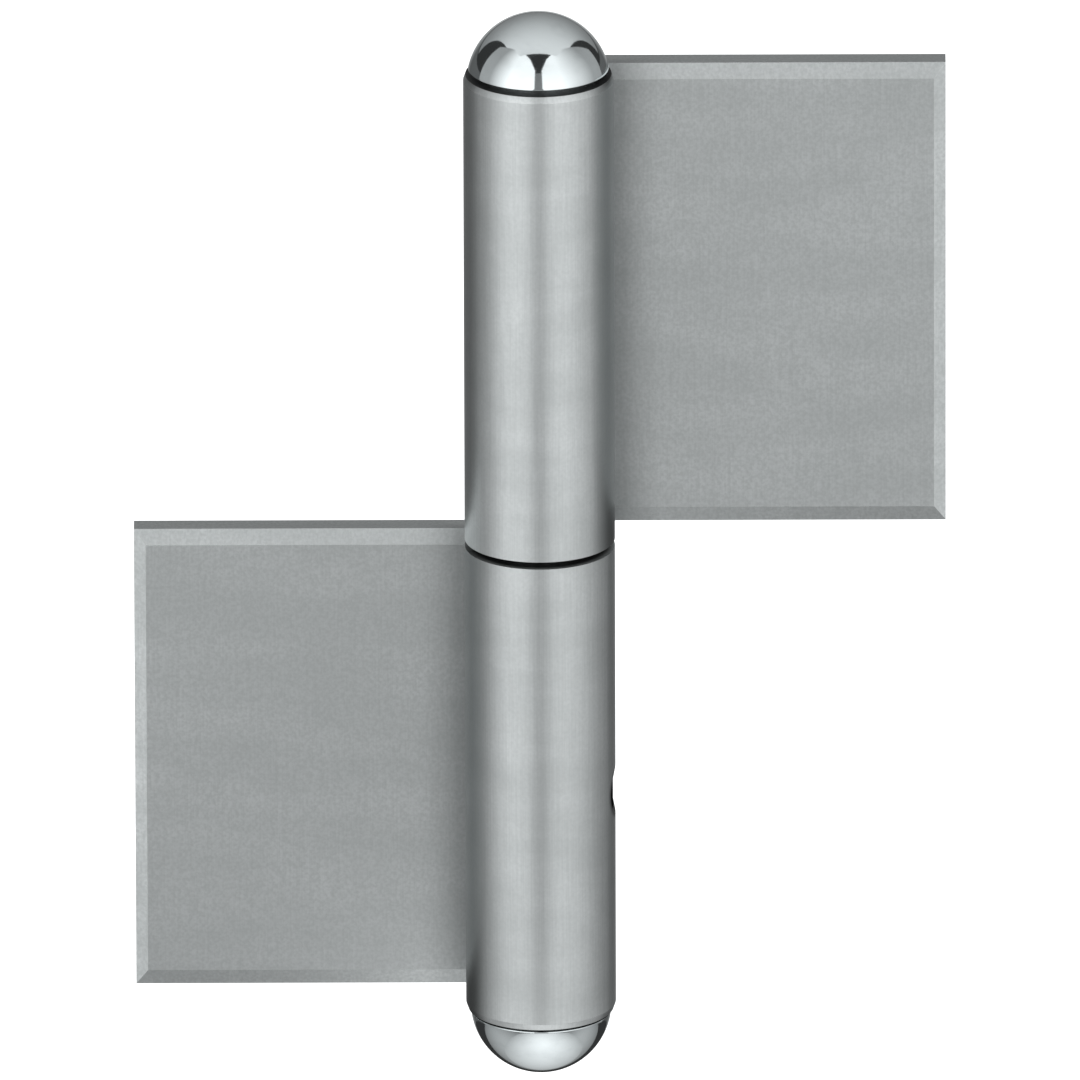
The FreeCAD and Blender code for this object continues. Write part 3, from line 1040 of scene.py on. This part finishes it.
@dataclass
class SetScrew(Piece):
    """Socket set screw, cut with a real thread and shaped upright before it is laid along +X."""

    pitch: float = 1.0 * MM
    thread_depth: float = 0.6 * MM
    crest: float = 0.13 * MM
    point_chamfer: float = 0.8 * MM
    edge_chamfer: float = 0.4 * MM
    socket: float = 3.0 * MM
    socket_depth: float = 2.5 * MM
    drill_point: float = 0.4 * MM
    crease: float = math.radians(30)
    steps: int = 48

    def shape(self) -> Mesh:
        """Returns the screw's mesh in its place."""
        radius = (self.high.z - self.low.z) / 2
        length = self.high.x - self.low.x
        bm = self.thread(radius, length)
        self.trim(bm, radius, length)
        self.sink_socket(bm, length)
        close_up(bm)
        sharpen(bm, self.crease)
        paint(bm, Mark.EDGE, [face for face in bm.faces if self.rubs(face, radius, length)])
        place = Matrix.Translation((self.low.x, 0, (self.low.z + self.high.z) / 2))
        bmesh.ops.transform(bm, matrix=place @ Matrix.Rotation(math.pi / 2, 4, "Y"), verts=bm.verts[:])
        return bm

    def rubs(self, face: Face, radius: float, length: float) -> bool:
        """Tells whether a face lies on a crest or on the outer end, where the hole and the key rub."""
        centre = face.calc_center_median()
        return radius_of(centre) > radius - self.thread_depth / 2 or centre.z > length - WELD_DISTANCE

    def thread(self, radius: float, length: float) -> Mesh:
        """Winds one pitch of the thread's flank up the screw.

        Args:
            radius: radius over the crests.
            length: length of the screw.

        Returns:
            The open threaded sleeve, longer than the screw.
        """
        root = radius - self.thread_depth
        turns = math.ceil(length / self.pitch) + 2
        outline = Outline(-self.pitch, root)
        outline.line(radius, -(self.pitch + self.crest) / 2)
        outline.line(radius, -(self.pitch - self.crest) / 2)
        outline.line(root, 0.0)
        bm = outline.bm
        bmesh.ops.spin(
            bm,
            geom=everything(bm),
            axis=(0, 0, 1),
            dvec=(0, 0, self.pitch / self.steps),
            angle=FULL_TURN * turns,
            steps=self.steps * turns,
        )
        bmesh.ops.remove_doubles(bm, verts=bm.verts[:], dist=WELD_DISTANCE)
        return bm

    def trim(self, bm: Mesh, radius: float, length: float) -> None:
        """Cuts the sleeve to length, chamfers both ends and closes the point."""
        for level, upwards in ((0.0, -1), (length, 1)):
            bmesh.ops.bisect_plane(
                bm,
                geom=everything(bm),
                dist=WELD_DISTANCE,
                plane_co=(0, 0, level),
                plane_no=(0, 0, upwards),
                clear_outer=True,
            )
        for vert in bm.verts:
            inner, outer = vert.co.z, length - vert.co.z
            room = radius - max(self.point_chamfer - inner, self.edge_chamfer - outer, 0.0)
            if radius_of(vert.co) > room:
                vert.co.xy *= room / radius_of(vert.co)
        point = [edge for edge in bm.edges if edge.is_boundary and edge.verts[0].co.z < length / 2]
        bmesh.ops.contextual_create(bm, geom=point)

    def sink_socket(self, bm: Mesh, length: float) -> None:
        """Closes the outer end round a hexagon socket with a drilled bottom."""
        end = [edge for edge in bm.edges if edge.is_boundary]
        place = Matrix.Translation((0, 0, length))
        corner = self.socket / math.sqrt(3)
        ring = bmesh.ops.create_circle(bm, segments=6, radius=corner, matrix=place)["verts"]
        hexagon = list({edge for vert in ring for edge in vert.link_edges})
        bmesh.ops.triangle_fill(bm, use_beauty=True, edges=end + hexagon, normal=(0, 0, 1))
        made = bmesh.ops.extrude_edge_only(bm, edges=hexagon)
        bmesh.ops.translate(bm, verts=corners_made(made), vec=(0, 0, -self.socket_depth))
        bottom = bmesh.ops.contextual_create(bm, geom=rim_made(made))["faces"]
        cone = bmesh.ops.poke(bm, faces=bottom)
        bmesh.ops.translate(bm, verts=cone["verts"], vec=(0, 0, -self.drill_point))


def towards(bearing: float, rise: float) -> Vector:
    """Direction from the hinge, by its bearing from the camera's side and its rise, in degrees."""
    turn, lift = math.radians(bearing), math.radians(rise)
    return Vector((math.sin(turn) * math.cos(lift), -math.cos(turn) * math.cos(lift), math.sin(lift)))


def put_up(name: str, bm: Mesh, material: Material) -> bpy.types.Object:
    """Puts up a piece of the studio.

    Args:
        name: the piece's name.
        bm: its mesh, which is used up.
        material: its finish.

    Returns:
        The object, marked as stage.
    """
    mesh = bpy.data.meshes.new(name)
    bm.to_mesh(mesh)
    bm.free()
    mesh.materials.append(material)
    made = bpy.data.objects.new(name, mesh)
    bpy.context.scene.collection.objects.link(made)
    return made


@dataclass(frozen=True)
class Glow:
    """White cloth that is lit from behind."""

    dark: Colour = (0.0, 0.0, 0.0)
    tint: Colour = (0.985, 1.0, 1.0)
    brightest: float = 1.6

    def mix(self, name: str, light: Union[float, Callable[[Recipe], Value]]) -> Material:
        """Makes the cloth.

        Args:
            name: the material's name.
            light: the cloth's brightness, or what gives it from the recipe where it changes.

        Returns:
            The material.
        """
        recipe = Recipe(name)
        if isinstance(light, float):
            colour, strength = (*self.tint, 1.0), light
        else:
            share = light(recipe) * (1 / self.brightest)
            colour, strength = recipe.blend(self.dark, self.tint, share), self.brightest
        return recipe.surface(
            Base_Color=(*self.dark, 1.0),
            Specular_IOR_Level=0.0,
            Emission_Color=colour,
            Emission_Strength=strength,
        )


@dataclass(frozen=True)
class TentWall:
    """Glowing wall of the light tent at one side of the camera, as the domed knobs mirror it.

    Bearings and rises are in degrees, and a trim cuts the wall along the line of sight between two of them.
    """

    name: str
    side: int
    light: float
    fade_from: float
    fade: float
    least: float = 0.0
    radius: float = 0.8
    foot: float = -0.45
    head: float = 1.6
    inner: float = 6.5
    outer: float = 114.0
    foot_light: float = 0.80
    foot_band: Band = (-0.40, 0.20)
    head_loss: float = 0.14
    head_band: Band = (0.15, 0.75)
    steps: int = 36
    trims: tuple[tuple[Band, Band], ...] = (
        ((4, 37), (22, 57)),
        ((22, 57), (44, 62)),
        ((44, 62), (114, 38)),
        ((11, -22), (6.5, 15)),
    )

    def brightness(self, recipe: Recipe) -> Value:
        """Light of the wall, which fades from the camera outwards, up to its head and down to its foot."""
        across, depth = recipe.axis("X") * float(self.side), recipe.axis("Y") * -1.0
        bearing = recipe.maths("ARCTAN2", across, depth) * math.degrees(1.0)
        faded = self.light - recipe.maths("MAXIMUM", bearing - self.fade_from, 0.0) * self.fade
        light = recipe.maths("MAXIMUM", faded, self.least)
        level = recipe.axis("Z")
        above_foot = level.between(*self.foot_band) * (1.0 - self.foot_light)
        return light * (self.foot_light + above_foot - level.between(*self.head_band) * self.head_loss)

    def put_up(self) -> bpy.types.Object:
        """Returns the wall, bent round the hinge and trimmed along straight lines of sight."""
        bm = bmesh.new()
        start = towards(self.inner * self.side, 0.0) * self.radius
        low, high = (bm.verts.new((start.x, start.y, level)) for level in (self.foot, self.head))
        post = bm.edges.new((low, high))
        sweep = math.radians(self.outer - self.inner) * self.side
        bmesh.ops.spin(bm, geom=[low, high, post], axis=(0, 0, 1), angle=sweep, steps=self.steps)
        for first, second in self.trims:
            above = towards(*first).cross(towards(*second))
            bmesh.ops.bisect_plane(
                bm,
                geom=everything(bm),
                plane_co=(0, 0, 0),
                plane_no=(above.x * self.side, above.y, above.z),
                clear_outer=True,
            )
        return put_up(self.name, bm, Glow().mix(self.name, self.brightness))


@dataclass(frozen=True)
class Canopy:
    """Glowing cloth over the hinge, which curves down behind it and grows dimmer there."""

    radius: float = 1.3
    half_width: float = 1.10
    front: float = 67.5
    back: float = 172.0
    front_light: float = 0.78
    back_light: float = 0.22
    dimmest: float = 178.0
    steps: int = 32

    def brightness(self, recipe: Recipe) -> Value:
        """Light of the cloth by its rise from the front."""
        rise = recipe.maths("ARCTAN2", recipe.axis("Z"), recipe.axis("Y") * -1.0) * math.degrees(1.0)
        loss = self.front_light - self.back_light
        return self.front_light - rise.between(self.front, self.dimmest) * loss

    def put_up(self) -> bpy.types.Object:
        """Returns the canopy, bent about the hinge."""
        bm = bmesh.new()
        edge = towards(0.0, self.front) * self.radius
        ends = [bm.verts.new((side * self.half_width, edge.y, edge.z)) for side in (-1, 1)]
        bar = bm.edges.new(ends)
        sweep = math.radians(self.front - self.back)
        bmesh.ops.spin(bm, geom=[*ends, bar], axis=(1, 0, 0), angle=sweep, steps=self.steps)
        return put_up("canopy", bm, Glow().mix("canopy", self.brightness))


@dataclass(frozen=True)
class Reflector:
    """Oval glowing card below the hinge, brightest in its middle."""

    name: str
    centre: Size
    half_width: float
    half_length: float
    light: float
    rim_light: float
    falloff: float = 1.0
    steps: int = 64

    def brightness(self, recipe: Recipe) -> Value:
        """Light of the card, which fades to its rim."""
        across = (recipe.axis("X") - self.centre[0]) * (1 / self.half_width)
        along = (recipe.axis("Y") - self.centre[1]) * (1 / self.half_length)
        share = (across * across + along * along) ** (self.falloff / 2)
        return self.light - share * (self.light - self.rim_light)

    def put_up(self) -> bpy.types.Object:
        """Returns the card, lying level."""
        bm = bmesh.new()
        spread = Vector((self.half_width, self.half_length, 1.0))
        place = Matrix.LocRotScale(Vector(self.centre), None, spread)
        bmesh.ops.create_circle(bm, cap_ends=True, segments=self.steps, radius=1.0, matrix=place)
        return put_up(self.name, bm, Glow().mix(self.name, self.brightness))


@dataclass(frozen=True)
class DimRoom:
    """Dim room round the tent, which only mirrors see."""

    radius: float = 1.7
    light: float = 0.035

    def put_up(self) -> bpy.types.Object:
        """Returns the room's round wall."""
        bm = bmesh.new()
        bmesh.ops.create_icosphere(bm, subdivisions=4, radius=self.radius)
        return put_up("dim_room", bm, Glow().mix("dim_room", self.light))


@dataclass
class Studio:
    """Pale floor, light tent and the camera."""

    floor_level: float = -0.46
    floor_size: float = 14.0
    room_light: float = 1.7
    camera_rise: float = 19.55
    camera_roll: float = -0.17
    camera_distance: float = 6.5
    camera_range: float = 50.0
    frame_width: float = 143.5 * MM
    aim: Size = (0.03 * MM, 0.0, 0.14 * MM)
    tent: tuple[Union[TentWall, Canopy, Reflector, DimRoom], ...] = (
        TentWall("left_wall", -1, 1.34, 50.0, 0.0255, least=0.40, outer=110.0),
        TentWall("right_wall", 1, 1.28, 40.0, 0.0145, least=0.38, outer=124.0),
        TentWall(
            "front_low", 1, 0.52, 90.0, 0.0, radius=0.82, head=-0.04, inner=-13.0, outer=13.0, trims=()
        ),
        TentWall(
            "front_high",
            1,
            0.22,
            90.0,
            0.0,
            radius=0.82,
            foot=-0.04,
            head=0.62,
            inner=-13.0,
            outer=13.0,
            trims=(),
        ),
        TentWall("left_back", -1, 0.12, 150.0, -0.015, head=0.10, inner=111.0, outer=180.0, trims=()),
        TentWall("right_back", 1, 0.12, 150.0, -0.015, head=0.10, inner=125.0, outer=180.0, trims=()),
        Canopy(),
        Reflector("table_card", (0.05, -0.07, -0.45), 1.20, 0.42, 0.60, 0.22),
        Reflector("knob_card", (0.003, -0.030, -0.096), 0.034, 0.044, 1.15, 0.45, falloff=1.3),
        DimRoom(),
    )

    def build(self) -> None:
        """Sets up the floor, the tent, the room and the camera."""
        floor = put_up("floor", self.floor(), StudioPaper().mix())
        floor.visible_glossy = False
        for cloth in self.tent:
            glow = cloth.put_up()
            glow.visible_camera = False
            glow.visible_diffuse = False
            glow.visible_shadow = False
        self.light_room()
        self.set_camera()
        bpy.context.scene.view_settings.view_transform = "Standard"

    def floor(self) -> Mesh:
        """Returns the floor, well below the hinge, which hangs free as in the photograph."""
        bm = bmesh.new()
        place = Matrix.Translation((0, 0, self.floor_level))
        bmesh.ops.create_grid(bm, x_segments=2, y_segments=2, size=self.floor_size / 2, matrix=place)
        return bm

    def light_room(self) -> None:
        """Gives the room an even white light, which the floor takes and the steel doesn't mirror."""
        world = bpy.data.worlds.new("room")
        world.use_nodes = True
        background = world.node_tree.nodes["Background"]
        background.inputs["Color"].default_value = (1.0, 1.0, 1.0, 1.0)
        background.inputs["Strength"].default_value = self.room_light
        bpy.context.scene.world = world
        world.cycles_visibility.glossy = False

    def set_camera(self) -> None:
        """Sets a long lens in front of the hinge, looking down at the photograph's angle."""
        data = bpy.data.cameras.new("camera")
        data.lens = data.sensor_width * self.camera_distance / self.frame_width
        data.clip_end = self.camera_range
        camera = bpy.data.objects.new("camera", data)
        back = towards(0.0, self.camera_rise)
        camera.location = Vector(self.aim) + back * self.camera_distance
        roll = Matrix.Rotation(math.radians(self.camera_roll), 3, "Z")
        camera.rotation_euler = (back.to_track_quat("Z", "Y").to_matrix() @ roll).to_euler()
        bpy.context.scene.collection.objects.link(camera)
        bpy.context.scene.camera = camera


def pieces() -> list[Piece]:
    """Returns every piece of the hinge, from the outside in."""
    screw_low, screw_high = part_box("set_screw")
    level = (screw_low.z + screw_high.z) / 2
    radius = (screw_high.z - screw_low.z) / 2
    return [
        RolledLeaf("door_leaf", Body.DOOR_HALF, Slot.SATIN),
        RolledLeaf(
            "frame_leaf",
            Body.FRAME_HALF,
            Slot.SATIN,
            turned_over=True,
            screw_level=-level,
            screw_radius=radius,
        ),
        DomedKnob("top_knob", Body.DOOR_HALF, Slot.POLISHED),
        DomedKnob(
            "bottom_knob",
            Body.FRAME_HALF,
            Slot.POLISHED,
            upside_down=True,
            relief_height=0.4 * MM,
            foot_round=0.04 * MM,
        ),
        HingePin("hinge_pin", Body.FRAME_HALF, Slot.GROUND, screw_level=level, screw_radius=radius),
        ThrustBall("thrust_ball", Body.THRUST_BEARING, Slot.POLISHED),
        SetScrew("set_screw", Body.FRAME_HALF, Slot.SCREW),
    ]


def main() -> None:
    """Builds the hinge's pieces in order, then the studio round them."""
    logging.basicConfig(level=logging.INFO, format="%(name)s: %(message)s")
    materials = {slot: finish.mix() for slot, finish in FINISHES.items()}
    for piece in pieces():
        piece.make(materials)
    Studio().build()


if __name__ == "__main__":
    main()
